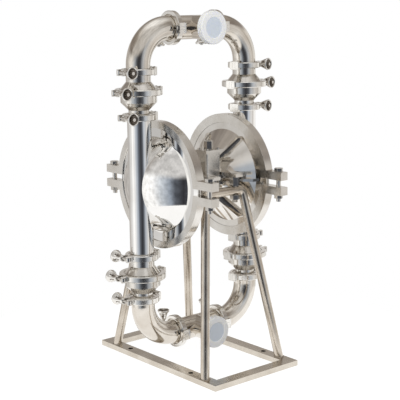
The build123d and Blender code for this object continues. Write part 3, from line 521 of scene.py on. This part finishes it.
edge.width, edge.segments, edge.limit_method = 0.0005, 2, "ANGLE"
edge.angle_limit = math.radians(40)

# ---- studio ----
# A round white table in a pale room whose dark side lies behind the camera, with a darker ceiling
# beyond the pump, a white lower half and a broad soft light above the camera.


def ramp(tree, factor, stops):
    """Colour that goes through stops of (place, red, green, blue)."""
    made = node(tree, "ShaderNodeValToRGB", {"Fac": factor})
    elements = made.color_ramp.elements
    while len(elements) < len(stops):
        elements.new(0.5)
    for element, (place, *colour) in zip(elements, stops):
        element.position = place
        element.color = (*colour, 1)
    return made.outputs["Color"]


camera_data = bpy.data.cameras.new("camera")
camera_data.sensor_width = 36.0
camera_data.lens = 95.625
camera = bpy.data.objects.new("camera", camera_data)
bpy.context.scene.collection.objects.link(camera)
yaw, pitch, roll = math.radians(40.05), math.radians(10.85), math.radians(-0.638)
forward = Vector((math.sin(yaw) * math.cos(pitch), math.cos(yaw) * math.cos(pitch), -math.sin(pitch)))
right = Vector((math.cos(yaw), -math.sin(yaw), 0))
up = right.cross(forward)
camera_right = right * math.cos(roll) + up * math.sin(roll)
camera_up = up * math.cos(roll) - right * math.sin(roll)
aim, distance = Vector((0.01486, 0, 0.35517)), 2.3508
turn = Matrix((camera_right, camera_up, -forward)).transposed().to_4x4()
camera.matrix_world = Matrix.Translation(aim - forward * distance) @ turn
bpy.context.scene.camera = camera
bpy.context.scene.view_settings.view_transform = "Standard"

world = bpy.data.worlds.new("studio")
bpy.context.scene.world = world
world.use_nodes = True
tree = world.node_tree
tree.nodes.clear()
direction = node(tree, "ShaderNodeTexCoord", {}).outputs["Generated"]
toward = Vector((-math.sin(yaw), -math.cos(yaw), 0))
across = node(tree, "ShaderNodeVectorMath", {0: direction, 1: right}, operation="DOT_PRODUCT")
ahead = node(tree, "ShaderNodeVectorMath", {0: direction, 1: toward}, operation="DOT_PRODUCT")
angle = node(tree, "ShaderNodeMath", {0: across.outputs["Value"], 1: ahead.outputs["Value"]},
             operation="ARCTAN2")
share = node(tree, "ShaderNodeMapRange", {
    "Value": angle.outputs[0], "From Min": -math.pi, "From Max": math.pi})
# Colour of the walls by degrees to the right of straight behind the camera.
wall_stops = [
    (-180, .62, .60, .58), (-147, .50, .47, .44), (-104, .66, .65, .64), (-77, .98, .98, .97),
    (-56, 1.0, 1.0, 1.0), (-38, .60, .64, .69), (-20, .30, .34, .40), (-8, .10, .11, .13),
    (10, .035, .035, .04), (27, .10, .11, .13), (44, .50, .54, .60), (70, .78, .77, .76),
    (95, .60, .57, .54), (129, .92, .91, .89), (180, .62, .60, .58)]
walls = ramp(tree, share.outputs["Result"], [((stop[0] + 180) / 360, *stop[1:]) for stop in wall_stops])
height = node(tree, "ShaderNodeSeparateXYZ", {0: direction})
low = node(tree, "ShaderNodeMapRange", {"Value": height.outputs["Z"], "From Min": -0.75, "From Max": -0.6},
           interpolation_type="SMOOTHSTEP")
high = node(tree, "ShaderNodeMapRange", {"Value": height.outputs["Z"], "From Min": 0.18, "From Max": 0.42},
            interpolation_type="SMOOTHSTEP")
far_ceiling = ramp(tree, height.outputs["Z"], [
    (0.35, .24, .21, .19), (0.72, .36, .33, .30), (1.0, 1.0, 1.0, 1.0)])
near_ceiling = (0.62, 0.61, 0.60, 1)
clutter = node(tree, "ShaderNodeTexNoise", {
    "Vector": direction, "Scale": 5.0, "Detail": 4.0, "Roughness": 0.6})
uneven = node(tree, "ShaderNodeMapRange", {
    "Value": clutter.outputs["Fac"], "From Min": 0.3, "From Max": 0.7, "To Min": 0.72, "To Max": 1.25})
near = node(tree, "ShaderNodeMapRange", {
    "Value": ahead.outputs["Value"], "From Min": 0.05, "From Max": 0.5}, interpolation_type="SMOOTHSTEP")
overhead = node(tree, "ShaderNodeMix", {0: near.outputs["Result"], 6: far_ceiling, 7: near_ceiling},
                data_type="RGBA")
roof = node(tree, "ShaderNodeMix", {0: high.outputs["Result"], 6: walls, 7: overhead.outputs[2]},
            data_type="RGBA")
busy = node(tree, "ShaderNodeVectorMath", {0: roof.outputs[2], "Scale": uneven.outputs["Result"]},
            operation="SCALE")
room = node(tree, "ShaderNodeMix", {
    0: low.outputs["Result"], 6: (1.0, 0.99, 0.97, 1), 7: busy.outputs["Vector"]}, data_type="RGBA")
surround = node(tree, "ShaderNodeBackground", {"Color": room.outputs[2], "Strength": 1.08})
white = node(tree, "ShaderNodeBackground", {"Color": (1, 1, 1, 1), "Strength": 1.0})
path = node(tree, "ShaderNodeLightPath", {})
seen = node(tree, "ShaderNodeMixShader", {
    0: path.outputs["Is Camera Ray"], 1: surround.outputs[0], 2: white.outputs[0]})
node(tree, "ShaderNodeOutputWorld", {"Surface": seen.outputs[0]})

softbox_distance, softbox_rise = 2.6, 0.9
softbox = bpy.data.lights.new("front_softbox", "AREA")
softbox.shape, softbox.size, softbox.energy = "DISK", 2.0, 30.0
front = bpy.data.objects.new("front_softbox", softbox)
bpy.context.scene.collection.objects.link(front)
front.matrix_world = Matrix.Translation(aim - forward * softbox_distance + up * softbox_rise) @ turn
front.visible_glossy = False

shape = bmesh.new()
table_r = 0.58
bmesh.ops.create_circle(shape, cap_ends=True, segments=96, radius=table_r)
table_mesh = bpy.data.meshes.new("table_top")
shape.to_mesh(table_mesh)
shape.free()
table_top = bpy.data.objects.new("table_top", table_mesh)
bpy.context.scene.collection.objects.link(table_top)
paper, tree, shader = new_material("matt_white_table")
shader.inputs["Base Color"].default_value = (0.3, 0.3, 0.3, 1)
shader.inputs["Roughness"].default_value = 1
shader.inputs["Specular IOR Level"].default_value = 0
path = node(tree, "ShaderNodeLightPath", {})
lit = node(tree, "ShaderNodeMath", {0: path.outputs["Is Camera Ray"], 1: path.outputs["Is Glossy Ray"]},
           operation="MAXIMUM")
glow = node(tree, "ShaderNodeEmission", {"Color": (0.87, 0.87, 0.87, 1), "Strength": lit.outputs[0]})
total = node(tree, "ShaderNodeAddShader", {0: shader.outputs[0], 1: glow.outputs[0]})
tree.links.new(total.outputs[0], tree.nodes["Material Output"].inputs["Surface"])
table_mesh.materials.append(paper)
